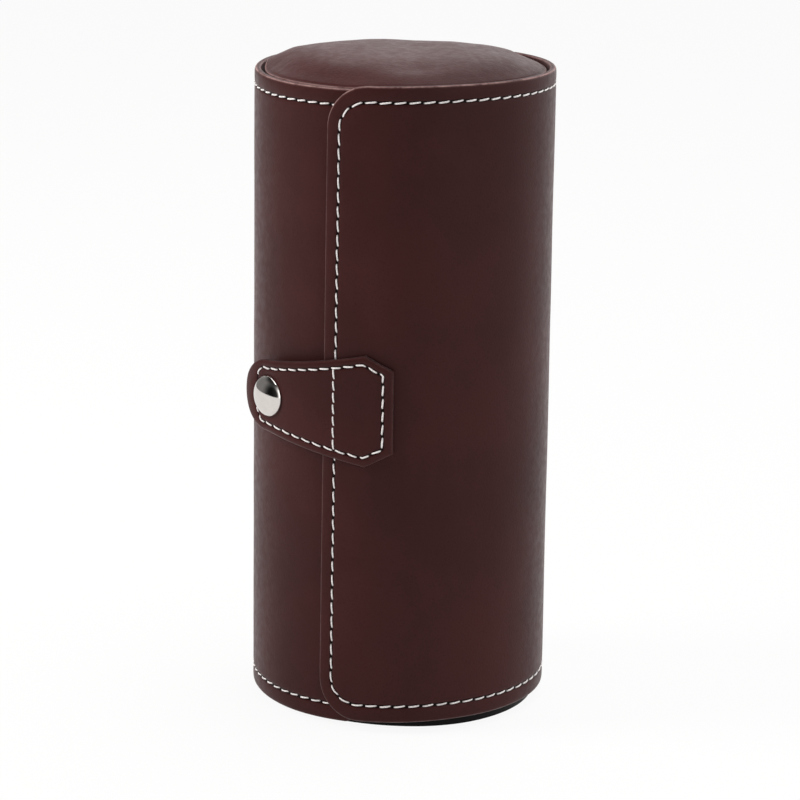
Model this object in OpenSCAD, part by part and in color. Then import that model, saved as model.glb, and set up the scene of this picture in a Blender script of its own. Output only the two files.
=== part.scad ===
// Round travel case for three watches: a half-round tray with padded ends, a curved flap
// on a leather hinge, a tapered tab with a snap fastener, and three watch pillows.
// Millimetres. +Z up: the case stands on its lower padded end, with the tray's axis on Z.
// Angles are about Z from +X. The flap's free edge is at the front, -Y.

/* [Case] */
// Outside diameter of the tray
case_d = 88; // [84:1:96]
// Height of the wrap from rim to rim
wrap_h = 188; // [176:1:204]
// How far the lower pad stands below the tray's rim
foot_drop = 2.2; // [1.8:0.1:3]
// How much higher the flap sits than the tray
flap_rise = 1.5; // [0:0.1:2]

/* [Wrap] */
// Thickness of the outer leather
leather_t = 0.9; // [0.7:0.1:1.2]
// Thickness of the stiffening board
board_t = 0.9; // [0.7:0.1:1.4]
// Thickness of the suede lining, and of the skived turn-in beside it
lining_t = 0.4; // [0.3:0.1:0.6]
// Width of the leather turned in along every edge
turn_in = 8; // [6:0.5:9]
// Radius of the flap's free corners
corner_r = 12.5; // [9.5:0.5:14]
// Radius of the tray's free corners, which the flap covers
tray_corner_r = 3; // [2.5:0.5:5]

/* [Opening] */
// Angle of the leather hinge round the case
hinge_angle = 84; // [80:1:88]
// Sweep of the flap from the hinge to its free edge, in degrees
flap_sweep = 174; // [170:1:175]
// How far the flap laps over the tray's free edge
overlap = 9.2; // [6:0.1:12]
// Gap between the flap and the tray that it laps over
lap_gap = 0.4; // [0.35:0.05:0.6]
// Width of bare leather each side of the hinge line
hinge_bare = 4; // [3:0.5:6]
// Slit in the hinge line between the tray's half and the flap's half
hinge_slit = 0.4; // [0.3:0.05:0.6]

/* [Ends] */
// Thickness of each round end board
disc_t = 2.5; // [2:0.1:3.5]
// Thickness of the suede facing inside each end
facing_t = 0.8; // [0.5:0.1:1.2]
// Depth of each end board's outer face below the rim
disc_recess = 4.5; // [4:0.1:5.5]
// Groove between each end pad and the rim
pad_groove = 0.8; // [0.7:0.1:1.4]
// How far the end pads sit off the axis, towards the flap
pad_offset = 0.5; // [0:0.1:0.6]
// Height of the upper pad's edge above the rim
pad_lip = 0.3; // [0:0.1:0.8]
// Rise of the upper pad's crown above its edge
top_crown = 6.2; // [4:0.1:8]
// Swell of the lower pad below its edge
bottom_crown = 1.2; // [0.8:0.1:1.6]
// Radius of the flat that the lower pad is pressed to
foot_r = 36; // [26:1:37]
// Relief of the ends and dividers from the flap
flap_relief = 0.5; // [0.4:0.1:0.8]

/* [Dividers] */
// Thickness of a divider's board
divider_t = 2; // [1.5:0.1:3]
// Thickness of a divider's suede sleeve
sleeve_t = 0.7; // [0.5:0.1:1]
// Reach of the dividers' straight edge in front of the axis
divider_reach = 18; // [14:1:22]
// Radius of the dividers' two free corners
divider_corner = 8; // [5:0.5:10]

/* [Pillows] */
// Depth of a pillow, from the tray's back towards the opening
pillow_depth = 50; // [44:1:54]
// Width of a pillow across the tray
pillow_w = 62; // [54:1:66]
// Gap behind a pillow, for the watch's strap
strap_gap = 4.8; // [4:0.1:6]
// Gap between a pillow and the walls above and below it
pillow_fit = 0.3; // [0.25:0.05:0.5]
// Radius of a pillow's rolled ends
pillow_roll = 7; // [5:0.5:7]
// Padding round a pillow's core
pillow_pad = 8.5; // [8:0.5:11]
// Thickness of the patch that closes a pillow
patch_t = 0.8; // [0.6:0.1:1.2]
// How much fuller a pillow is at the middle of its height
pillow_barrel = 0.5; // [0.2:0.1:1]

/* [Tab] */
// Length of the tab round the case
tab_len = 55.2; // [53:0.2:60]
// Height of the tab at its widest
tab_h = 34; // [30:0.5:38]
// Height of the tab's straight end
tab_end_h = 25.5; // [20:0.5:28]
// Length of the tab's two bevels
tab_bevel = 8.4; // [6:0.2:11]
// Radius of the tab's round tip
tab_tip_r = 11.3; // [10:0.1:13]
// Length of the tab that is sewn down on the flap
tab_sewn = 22.5; // [20:0.5:24]
// Thickness of each of the tab's two leathers
tab_ply = 1; // [0.9:0.1:1.2]
// Height of the tab's middle above the tray's lower rim
tab_rise = 95.6; // [80:0.2:110]
// Slit in the tab's fold line, beside the flap's free edge
fold_slit = 0.3; // [0.25:0.05:0.5]

/* [Snap] */
// Distance from the tab's tip to the snap
snap_inset = 12.5; // [12:0.1:15]
// Diameter of the snap's cap
cap_d = 12.5; // [11:0.5:14]
// Rise of the cap's dome from its rim
cap_rise = 3.5; // [2.5:0.1:4]
// Diameter of the socket
socket_d = 10.6; // [9.6:0.1:11]
// Diameter of the flanges of the stud and its post
flange_d = 9.2; // [8:0.1:9.4]
// Thickness of those flanges
flange_t = 0.6; // [0.5:0.05:0.7]
// Diameter of the rivet stems through the leather
stem_d = 3.4; // [3:0.1:3.6]
// Diameter of the stud's head
stud_d = 4.2; // [4:0.1:4.4]
// Height of the stud above the tray's face
stud_h = 1.8; // [1.6:0.05:1.85]
// Clearance round the stud's head in the socket
stud_gap = 0.5; // [0.4:0.05:0.6]
// Thickness of the snap's pressed sheet
sheet_t = 0.4; // [0.35:0.05:0.5]

/* [Hidden] */
$fn = 128;
hair = 0.02;                // gap under a facetted piece that lies round a true curve
through = 1;                // how far a cutting tool runs past what it cuts
wrap_t = leather_t + board_t + lining_t;
tray_r = case_d / 2;
tray_in = tray_r - wrap_t;

// The flap's arc starts flush at the hinge and ends outside the tray, so its centre is set off.
flap_shift = (wrap_t + lap_gap) / 2;
flap_r = tray_r + flap_shift;
flap_way = hinge_angle + 180;
flap_c = flap_shift * [cos(flap_way), sin(flap_way)];
flap_edge = hinge_angle - flap_sweep;
tray_edge = 360 + flap_edge + arc(overlap, tray_r);

// A panel is [outer radius, hinge angle, free edge's angle, radius of its free corners].
tray_panel = [tray_r, hinge_angle, tray_edge, tray_corner_r];
flap_panel = [flap_r, hinge_angle, flap_edge, corner_r];
least_corner = 0.8;         // radius of the corners of what lies too far in for an even border
rim_lo = foot_drop;
rim_hi = foot_drop + wrap_h;

// Each end board lies inside the rim, with a suede facing on its inner side.
disc_hi = rim_hi - disc_recess;
disc_lo = rim_lo + disc_recess;
room_lo = disc_lo + disc_t + facing_t;
room_hi = disc_hi - disc_t - facing_t;
pad_r = tray_in - pad_groove;
top_side = disc_recess + pad_lip;
foot_side = disc_lo - bottom_crown;
top_power = 4;              // how sharply the upper pad's crown rolls off towards its edge
foot_power = 2.5;           // the same for the lower pad, outside its pressed flat
crown_steps = 14;

// Two walls cut the room into bays of one height.
bays = 3;
wall_t = divider_t + 2 * sleeve_t;
bay_h = (room_hi - room_lo - (bays - 1) * wall_t) / bays;
corner_stop = 10;           // degrees by which a divider's corner stops short of the tray's wall
corner_steps = 8;

// Pillows
pillow_h = bay_h - 2 * pillow_fit;
pillow_x = -tray_in + strap_gap + pillow_depth / 2;
pillow_foot = -pillow_h / 2;
core_top = pillow_h / 2 - pillow_pad;
oval_power = 2.5;           // squareness of a pillow's oval
oval_points = 28;
roll_steps = 5;
side_steps = 4;

// The tab's two leathers are wrapped on the flap's arc. s runs from the straight end to the tip.
tab_in = flap_r + hair;
tab_mid = tab_in + tab_ply;
tab_out = tab_mid + tab_ply;
tab_start = flap_edge + arc(tab_sewn, tab_out);
tab_z = rim_lo + tab_rise;
tip_s = tab_len - tab_tip_r;
taper_power = 1.2;          // how the tab's sides draw in between the bevels and the tip
tip_steps = 12;
tip_stop = 6;               // degrees of the tip's half round that its last flat takes
bevel_steps = 6;
root_steps = 12;
tongue_steps = 18;

// The snap's axis leaves the flap's centre at right angles to the tab.
snap_angle = tab_start - arc(tab_len - snap_inset, tab_out);
snap_lean = snap_angle - flap_way;
tray_face = along(tray_r);
lining_face = along(tray_in);
stud_bed = 0.25;            // depth that the stud's flange is pressed into the leather
post_bed = 0.28;            // depth of the lining's hollow over the post's flat flange
stud_foot = tray_face - stud_bed;
stud_top = tray_face + stud_h;
rivet_d = 2.4;              // diameter of the post's tip, riveted in the stud
rivet_top = stud_top - 0.5;
snap_air = 0.3;             // clearance between the socket and the stud, along their axis
socket_foot = stud_foot + flange_t + snap_air;
socket_top = tab_in - 0.05;
socket_roof = socket_top - sheet_t;
socket_mid = (socket_foot + socket_roof) / 2;
cap_seat = tab_out - 0.45;
cap_steps = 16;
spring_wire = 0.5;
spring_r = stud_d / 2 + snap_air + spring_wire / 2;
spring_gap = 50;            // degrees between the spring ring's two ends

// Colours, as the photograph shows the leather and the metal
hide = [0.24, 0.13, 0.13];
suede = [0.42, 0.36, 0.31];
card = [0.62, 0.55, 0.45];
foam = [0.86, 0.82, 0.70];
nickel = [0.80, 0.79, 0.77];

// The angle of an arc of a given length
function arc(length, r) = length / r * 180 / PI;

// Length of a panel round its outer face
function panel_w(panel) = abs(panel[1] - panel[2]) * PI / 180 * panel[0];

function reverse(list) = [for (i = [len(list) - 1:-1:0]) list[i]];

// Numbers from one value to another in equal steps
function spread(from, to, steps) = [for (i = [0:steps]) from + (to - from) * i / steps];

// Distance along the snap's axis, from the flap's centre, to a round of radius r about Z
function along(r) = sqrt(pow(r, 2) - pow(flap_shift * sin(snap_lean), 2)) - flap_shift * cos(snap_lean);

// ---- Wrap panels -------------------------------------------------------------------------

// A sector of a tube
module sector(r_in, r_out, a1, a2, z_lo, z_hi)
    rotate([0, 0, min(a1, a2)])
        rotate_extrude(angle = abs(a2 - a1))
            translate([r_in, z_lo]) square([r_out - r_in, z_hi - z_lo]);

// Outline of the waste at a rounded corner: x runs in from the free edge, y up to the rim.
// Its first and last flats run on past the panel, so that they cross its edges cleanly.
function corner_waste(r, steps = 9) = let (run = through / tan(45 / steps)) concat(
    [[-through, through], [-through, -r - run]],
    [for (i = [1:steps - 1]) [r - r * cos(90 * i / steps), r * sin(90 * i / steps) - r]],
    [[r + run, through]]
);

// The tool that rounds the two corners of a panel's free edge, which is at angle a
module corner_tool(panel, a, side, r, inset)
    rotate([0, 0, a]) mirror([0, side < 0 ? 1 : 0, 0])
        for (upper = [0, 1])
            translate([panel[0] / 2, 0, upper ? rim_hi - inset : rim_lo + inset])
                mirror([0, 0, 1 - upper])
                    rotate([90, 0, 90]) linear_extrude(panel[0])
                        polygon(corner_waste(r));

// One layer of a panel, between two depths under its outer face. Its outline is drawn in by
// inset at the rims and the free edge, and by hinge_inset at the hinge.
module layer(panel, d_out, d_in, inset, hinge_inset) {
    r = panel[0];
    side = sign(panel[1] - panel[2]);
    free = panel[2] + side * arc(inset, r);
    difference() {
        sector(r - d_in, r - d_out, free, panel[1] - side * arc(hinge_inset, r),
            rim_lo + inset, rim_hi - inset);
        corner_tool(panel, free, side, max(panel[3] - inset, least_corner), inset);
    }
}

// A strip of a layer along the hinge, between two distances from the hinge line
module hinge_strip(panel, d_out, d_in, near, far, inset) {
    r = panel[0];
    side = sign(panel[1] - panel[2]);
    sector(r - d_in, r - d_out, panel[1] - side * arc(near, r), panel[1] - side * arc(far, r),
        rim_lo + inset, rim_hi - inset);
}

// Board inside the turned leather
module board(panel) layer(panel, leather_t, leather_t + board_t, leather_t, hinge_bare);

// Leather on the outside, turned round the rims and the free edge. It is bare at the hinge.
// The pockets lie over each other and run on past the hinge line, so that no two share a face.
module cover(panel)
    difference() {
        layer(panel, 0, wrap_t, 0, hinge_slit / 2);
        layer(panel, leather_t, leather_t + board_t, leather_t, -through);
        layer(panel, leather_t + board_t / 2, wrap_t + through, turn_in, hinge_bare / 2);
        hinge_strip(panel, leather_t, wrap_t + through, -through, hinge_bare + hair, -through);
    }

// Lining between the turn-ins. At the board's end it steps down onto the bare leather.
module lining(panel)
    difference() {
        layer(panel, leather_t, wrap_t, turn_in, hinge_slit / 2);
        hinge_strip(panel, leather_t - through, leather_t + board_t, hinge_bare, panel_w(panel) + through, 0);
        hinge_strip(panel, leather_t + lining_t, wrap_t + through, -through, hinge_bare - lining_t, 0);
    }

// ---- Snap --------------------------------------------------------------------------------

// Puts a piece that is turned about Z on the snap's axis, with its Z along that axis
module on_snap()
    translate([flap_c[0], flap_c[1], tab_z]) rotate([0, 0, snap_angle]) rotate([0, 90, 0]) children();

// A round on the snap's axis, between two distances from the flap's centre
module snap_bore(d, from, to) on_snap() translate([0, 0, from]) cylinder(d = d, h = to - from);

// The stud: its flange lies in the leather, and its head is wider than its neck.
module snap_stud() color(nickel) {
    neck = stud_d - 0.8;
    shoulder = stud_foot + flange_t;
    on_snap() difference() {
        rotate_extrude() polygon([
            [0, stud_foot], [flange_d / 2, stud_foot], [flange_d / 2, shoulder],
            [neck / 2, shoulder], [neck / 2, shoulder + 0.2], [stud_d / 2, socket_mid],
            [stud_d / 2, stud_top - 0.3], [stud_d / 2 - 0.3, stud_top], [0, stud_top]
        ]);
        translate([0, 0, stud_foot - through]) cylinder(d = rivet_d, h = rivet_top + through - stud_foot);
    }
}

// The rivet post that holds the stud from inside the tray
module snap_post() color(nickel) {
    face = lining_face - post_bed;
    on_snap() rotate_extrude() polygon([
        [0, face - flange_t], [flange_d / 2, face - flange_t], [flange_d / 2, face],
        [stem_d / 2, face], [stem_d / 2, stud_foot], [rivet_d / 2 - hair, stud_foot],
        [rivet_d / 2 - hair, rivet_top - hair], [0, rivet_top - hair]
    ]);
}

// The socket on the tab's back. A groove in its wall holds the spring ring.
module snap_socket() color(nickel) {
    mouth = stud_d / 2 + stud_gap;
    half = spring_wire / 2 + hair;
    hole = stem_d / 2 + hair;
    on_snap() rotate_extrude() polygon([
        [mouth, socket_foot], [socket_d / 2 - 0.6, socket_foot], [socket_d / 2, socket_foot + 0.6],
        [socket_d / 2, socket_top], [hole, socket_top], [hole, socket_roof],
        [mouth, socket_roof], [mouth, socket_mid + half], [spring_r + half, socket_mid + half],
        [spring_r + half, socket_mid - half], [mouth, socket_mid - half]
    ]);
}

// The open ring of wire that grips the stud
module snap_spring() color(nickel) on_snap() translate([0, 0, socket_mid])
    rotate_extrude(angle = 360 - spring_gap) translate([spring_r, 0]) circle(d = spring_wire);

function dome_point(a, rise, i) = [a * cos(90 * i / cap_steps), cap_seat + rise * sin(90 * i / cap_steps)];

// The domed cap: a pressed shell on a rivet stem that runs through the tab to the socket
module snap_cap() color(nickel) {
    hollow = cap_rise - sheet_t;
    inside = [for (i = [cap_steps:-1:0]) dome_point(cap_d / 2 - sheet_t, hollow, i)];
    on_snap() rotate_extrude() polygon(concat(
        [for (i = [0:cap_steps]) dome_point(cap_d / 2, cap_rise, i)],
        [[0, socket_roof], [stem_d / 2, socket_roof], [stem_d / 2, cap_seat + 0.97 * hollow]],
        [for (p = inside) if (p[0] > stem_d / 2 + 0.1) p]
    ));
}

// ---- Tray --------------------------------------------------------------------------------

// The hole for the stud, with the flange's seat
module stud_hole() {
    snap_bore(stem_d, lining_face - through, tray_face + through);
    snap_bore(flange_d, stud_foot, tray_face + through);
}

module tray_cover() color(hide) difference() {
    cover(tray_panel);
    stud_hole();
}
module tray_board() color(card) difference() {
    board(tray_panel);
    stud_hole();
}
module tray_lining() color(suede) difference() {
    lining(tray_panel);
    stud_hole();
}

// ---- Ends --------------------------------------------------------------------------------

// A round board glued in the tray's wall, and relieved where the flap closes over it
module end_round(z_lo, z_hi)
    difference() {
        translate([0, 0, z_lo]) cylinder(r = tray_in, h = z_hi - z_lo);
        sector(tray_in - flap_relief, tray_in + through, tray_edge - 360, hinge_angle,
            z_lo - through, z_hi + through);
    }

module top_disc() color(card) end_round(disc_hi - disc_t, disc_hi);
module bottom_disc() color(card) end_round(disc_lo, disc_lo + disc_t);
module top_disc_facing() color(suede) end_round(room_hi, room_hi + facing_t);
module bottom_disc_facing() color(suede) end_round(room_lo - facing_t, room_lo);

// Profile of a pad's skin from its middle to its edge, with heights from the end board
function pad_line(r, flat, side, crown, power) = concat(
    [[0, side + crown]],
    [for (i = [0:crown_steps]) let (u = sin(90 * i / crown_steps))
        if (flat > 0 || i > 0) [flat + (r - flat) * u, side + crown * (1 - pow(u, power))]]
);

// Foam under a skin
module pad_foam(r, flat, side, crown, power)
    rotate_extrude() polygon(concat(
        [[0, 0]], pad_line(r - leather_t, flat, side - leather_t, crown, power), [[r - leather_t, 0]]
    ));

// The skin itself, stretched over the foam and down to the end board
module pad_skin(r, flat, side, crown, power)
    rotate_extrude() polygon(concat(
        pad_line(r, flat, side, crown, power), [[r, 0], [r - leather_t, 0]],
        reverse(pad_line(r - leather_t, flat, side - leather_t, crown, power))
    ));

module at_top() translate([pad_offset, 0, disc_hi]) children();
module at_foot() translate([pad_offset, 0, disc_lo]) mirror([0, 0, 1]) children();

module top_pad_foam() color(foam) at_top() pad_foam(pad_r, 0, top_side, top_crown, top_power);
module top_pad_cover() color(hide) at_top() pad_skin(pad_r, 0, top_side, top_crown, top_power);
module bottom_pad_foam() color(foam) at_foot() pad_foam(pad_r, foot_r, foot_side, bottom_crown, foot_power);
module bottom_pad_cover() color(hide) at_foot() pad_skin(pad_r, foot_r, foot_side, bottom_crown, foot_power);

// ---- Dividers ----------------------------------------------------------------------------

// Outline of a divider's free side, drawn past a wall of radius r so that the wall's round cuts it
function divider_line(r, reach, corner) =
    let (cx = reach - corner, cy = sqrt(pow(r - corner, 2) - pow(cx, 2)),
        last = atan2(cy, cx) - corner_stop,
        round = [for (a = spread(0, last, corner_steps)) [cx + corner * cos(a), cy + corner * sin(a)]],
        end = round[corner_steps] + 2 * corner * [cos(last), sin(last)])
    concat(round, [end, [-2 * tray_r, end[1]]]);

// A divider's plate, drawn in by inset along its free side only
module divider_plate(z_lo, z_hi, inset)
    intersection() {
        difference() {
            translate([0, 0, z_lo]) cylinder(r = tray_in, h = z_hi - z_lo);
            sector(tray_in - flap_relief - inset, tray_in + through, tray_edge - 360, hinge_angle,
                z_lo - through, z_hi + through);
        }
        translate([0, 0, z_lo - through]) linear_extrude(z_hi - z_lo + 2 * through) {
            line = divider_line(tray_in - inset, divider_reach - inset, divider_corner - inset);
            polygon(concat(line, [for (p = reverse(line)) [p[0], -p[1]]]));
        }
    }

// Height of the lower face of wall i
function wall_z(i) = room_lo + (i + 1) * bay_h + i * wall_t;

module divider_board(i) color(card)
    divider_plate(wall_z(i) + sleeve_t, wall_z(i) + sleeve_t + divider_t, sleeve_t);

// The sleeve covers both faces and the free edge. The board's round edge is glued to the tray.
module divider_sleeve(i) color(suede) difference() {
    divider_plate(wall_z(i), wall_z(i) + wall_t, 0);
    divider_board(i);
}

module lower_divider_board() divider_board(0);
module lower_divider_sleeve() divider_sleeve(0);
module upper_divider_board() divider_board(1);
module upper_divider_sleeve() divider_sleeve(1);

// ---- Flap --------------------------------------------------------------------------------

module on_flap() translate([flap_c[0], flap_c[1], flap_rise]) children();
module flap_cover() color(hide) on_flap() cover(flap_panel);
module flap_board() color(card) on_flap() board(flap_panel);
module flap_lining() color(suede) on_flap() lining(flap_panel);

// ---- Tab ---------------------------------------------------------------------------------

// Half of the tab's height at distance s from its straight end
function tab_half(s) =
    s < tab_bevel ? tab_end_h / 2 + (tab_h - tab_end_h) / 2 * s / tab_bevel :
    s < tip_s ? tab_tip_r + (tab_h / 2 - tab_tip_r) * pow((tip_s - s) / (tip_s - tab_bevel), taper_power) :
    sqrt(max(0, pow(tab_tip_r, 2) - pow(s - tip_s, 2)));

tip_stations = [for (i = [1:tip_steps]) tip_s + tab_tip_r * sin((90 - tip_stop) * i / tip_steps)];
neck_stations = [for (s = spread(tab_bevel, tab_sewn, root_steps)) if (s > tab_bevel) s];
root_stations = concat(spread(0, tab_bevel, bevel_steps), neck_stations);
tongue_stations = concat(spread(tab_sewn + fold_slit, tip_s, tongue_steps), tip_stations);

// A leather of the tab between two radii, wrapped over a list of stations
module wrapped(r_in, r_out, stations) {
    n = len(stations);
    points = [for (s = stations) let (a = tab_start - arc(s, tab_out), h = tab_half(s), c = cos(a), q = sin(a))
        each [[r_in * c, r_in * q, -h], [r_in * c, r_in * q, h], [r_out * c, r_out * q, h], [r_out * c, r_out * q, -h]]];
    sides = [for (i = [0:n - 2]) for (k = [0:3]) let (a = 4 * i + k, b = 4 * i + (k + 1) % 4)
        each [[a, b, b + 4], [a, b + 4, a + 4]]];
    translate([flap_c[0], flap_c[1], tab_z])
        polyhedron(points, concat([[3, 2, 1, 0]], sides, [[4 * n - 4, 4 * n - 3, 4 * n - 2, 4 * n - 1]]));
}

module tab_root_face() color(hide) wrapped(tab_mid, tab_out, root_stations);
module tab_root_back() color(hide) wrapped(tab_in, tab_mid, root_stations);
module tab_tongue_face() color(hide) difference() {
    wrapped(tab_mid, tab_out, tongue_stations);
    snap_bore(stem_d, tab_in, tab_out + through);
    snap_bore(cap_d, cap_seat, tab_out + through);
}
module tab_tongue_back() color(hide) difference() {
    wrapped(tab_in, tab_mid, tongue_stations);
    snap_bore(stem_d, tab_in - through, tab_out);
    snap_bore(socket_d, tab_in - through, socket_top);
}

// ---- Pillows -----------------------------------------------------------------------------

// Point i of a pillow's oval, drawn in by inset
function oval(i, inset) =
    let (a = 360 * i / oval_points, p = 2 / oval_power)
    [(pillow_depth / 2 - inset) * sign(cos(a)) * pow(abs(cos(a)), p),
        (pillow_w / 2 - inset) * sign(sin(a)) * pow(abs(sin(a)), p)];

// Draw-in of a pillow's side at height z from its middle
function waist(z) = pillow_barrel * pow(2 * z / pillow_h, 2);

roll_rings = [for (i = [0:roll_steps]) let (a = 90 * i / roll_steps)
    [pillow_roll * (1 - sin(a)), pillow_roll * (1 - cos(a)) - pillow_h / 2]];
side_rings = [for (i = [1:side_steps - 1]) [0, (pillow_h / 2 - pillow_roll) * (2 * i / side_steps - 1)]];
pillow_rings = concat(roll_rings, side_rings, [for (ring = reverse(roll_rings)) [ring[0], -ring[1]]]);

module pillow_form() {
    n = oval_points;
    m = len(pillow_rings);
    points = [for (ring = pillow_rings) for (i = [0:n - 1])
        let (p = oval(i, ring[0] + waist(ring[1]))) [p[0], p[1], ring[1]]];
    sides = [for (j = [0:m - 2]) for (i = [0:n - 1]) let (a = j * n + i, b = j * n + (i + 1) % n)
        each [[a, b + n, b], [a, a + n, b + n]]];
    polyhedron(points, concat([[for (i = [0:n - 1]) i]], sides, [[for (i = [n - 1:-1:0]) (m - 1) * n + i]]));
}

// The space inside a pillow's padding, between two heights
module pillow_well(z_lo, z_hi)
    translate([0, 0, z_lo]) linear_extrude(z_hi - z_lo)
        polygon([for (i = [0:oval_points - 1]) oval(i, pillow_pad)]);

// Puts a pillow in bay i
module in_bay(i) translate([pillow_x, 0, room_lo + i * (bay_h + wall_t) + bay_h / 2]) children();

module pillow_cover(i) color(suede) in_bay(i) difference() {
    pillow_form();
    pillow_well(pillow_foot - through, core_top);
}
module pillow_core(i) color(foam) in_bay(i) pillow_well(pillow_foot + patch_t, core_top);
module pillow_patch(i) color(suede) in_bay(i) pillow_well(pillow_foot, pillow_foot + patch_t);

module lower_pillow_cover() pillow_cover(0);
module lower_pillow_core() pillow_core(0);
module lower_pillow_patch() pillow_patch(0);
module middle_pillow_cover() pillow_cover(1);
module middle_pillow_core() pillow_core(1);
module middle_pillow_patch() pillow_patch(1);
module upper_pillow_cover() pillow_cover(2);
module upper_pillow_core() pillow_core(2);
module upper_pillow_patch() pillow_patch(2);

// The axes of the leather hinge and of the tab's fold, and the heights of the bays
leaf_pin = (tray_r + 0.3) * [cos(hinge_angle), sin(hinge_angle)];
fold_angle = tab_start - arc(tab_sewn + fold_slit / 2, tab_out);
fold_pin = flap_c + (tab_out + 0.3) * [cos(fold_angle), sin(fold_angle)];
echo(leaf_pin = leaf_pin, fold_pin = fold_pin, snap_angle = snap_angle, bay_h = bay_h, pillow_x = pillow_x);
echo(room_lo = room_lo, room_hi = room_hi, wall_z0 = wall_z(0), wall_z1 = wall_z(1), tab_z = tab_z);

tray_cover();
tray_board();
tray_lining();
top_disc();
top_disc_facing();
top_pad_foam();
top_pad_cover();
bottom_disc();
bottom_disc_facing();
bottom_pad_foam();
bottom_pad_cover();
lower_divider_board();
lower_divider_sleeve();
upper_divider_board();
upper_divider_sleeve();
snap_stud();
snap_post();
flap_cover();
flap_board();
flap_lining();
tab_root_face();
tab_root_back();
tab_tongue_face();
tab_tongue_back();
snap_cap();
snap_socket();
snap_spring();
lower_pillow_cover();
lower_pillow_core();
lower_pillow_patch();
middle_pillow_cover();
middle_pillow_core();
middle_pillow_patch();
upper_pillow_cover();
upper_pillow_core();
upper_pillow_patch();
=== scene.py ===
"""Watch travel case: leather wrap, stitching, padded ends, suede inside, studio."""
import math
import random

import bmesh
import bpy
import numpy as np
from mathutils import Matrix, Vector, noise


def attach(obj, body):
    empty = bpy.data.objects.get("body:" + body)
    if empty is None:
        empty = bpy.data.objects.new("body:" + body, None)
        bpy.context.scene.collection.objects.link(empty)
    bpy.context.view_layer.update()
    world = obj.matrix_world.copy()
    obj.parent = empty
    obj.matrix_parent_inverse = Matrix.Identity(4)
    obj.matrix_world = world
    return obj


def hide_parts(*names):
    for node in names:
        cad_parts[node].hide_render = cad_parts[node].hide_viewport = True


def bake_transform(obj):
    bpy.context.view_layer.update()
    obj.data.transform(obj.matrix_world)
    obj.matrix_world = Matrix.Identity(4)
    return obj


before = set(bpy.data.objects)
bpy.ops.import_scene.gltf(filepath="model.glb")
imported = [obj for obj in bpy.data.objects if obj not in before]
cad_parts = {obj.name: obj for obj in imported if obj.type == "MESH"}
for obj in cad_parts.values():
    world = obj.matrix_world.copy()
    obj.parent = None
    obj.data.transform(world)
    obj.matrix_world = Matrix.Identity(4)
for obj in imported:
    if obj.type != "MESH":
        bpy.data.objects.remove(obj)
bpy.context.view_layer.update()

MM = 0.001
rng = random.Random(20417)

# ---- Sizes of the CAD model that the pieces are fitted to, in mm -------------
CASE_R = 44.0
WRAP_T = 2.2
RIM_LO = 2.2
RIM_HI = 190.2
RISE = 1.5
RISE_HALF = 14.0
HINGE = math.radians(84.0)
FLAP_R = 45.3
FLAP_C = (-0.1359, -1.2929)
TRAY_LEN = math.radians(197.98) * CASE_R
FLAP_LEN = math.radians(174.0) * FLAP_R
TURN_IN = 8.0
FLAP_CORNER = 12.5
TRAY_CORNER = 3.0
LEAST_CORNER = 0.8
BAND = 4.6
TAB_OUT = 47.32
TAB_T = 2.0
TAB_Z = 97.8
TAB_START = math.radians(-62.76)
TAB_FOLD = math.radians(-84.3)
TAB_LEN = 55.2
TAB_ROOT_HALF = 12.75
TAB_WIDE_HALF = 17.0
TAB_WIDE_S = 8.4
TAB_TIP_R = 11.3
TIP_S = TAB_LEN - TAB_TIP_R
SNAP_S = TAB_LEN - 12.5
CAP_R = 6.25
CAP_RISE = 3.5
CAP_SEAT = TAB_OUT - 0.45
PAD_X = 0.5
PAD_R = 41.0
ROOM_LO = 10.0
ROOM_HI = 182.4
ROOM_R = 41.8
BAY_H = 55.2
WALL_T = 3.4
PILLOW_H = 54.6
PILLOW_X = -12.0
PILLOW_HALF_X = 25.0
PILLOW_HALF_Y = 31.0

# ---- Sizes of what only the scene has, in mm ---------------------------------
SEAM = 4.6  # stitch line of the wrap, in from its edge
TAB_SEAM = 3.1
NO_SEAM = 12.0  # a distance in from the edge at which no seam shows
FACE_DEPTH = 0.5  # a border's points that lie deeper carry no seam
PITCH = 4.2
TAB_PITCH = 3.8
CHANNEL = 0.32
TAB_CHANNEL = 0.27
THREAD_R = 0.255
SWAY = 0.10
FLAP_LEAN = (0.65, -0.8)  # of the flap's free edge, at its low and its high end
TIP_LIFT = 1.1  # over the last 12 mm of the tab
LINING_LAP = 0.6
RIGHT_X, RIGHT_Y = 0.878, 0.479  # the photograph's way to the right, on the floor


def smooth(t):
    t = min(max(t, 0.0), 1.0)
    return t * t * (3 - 2 * t)


def lerp(a, b, t):
    return a + (b - a) * t


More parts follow.
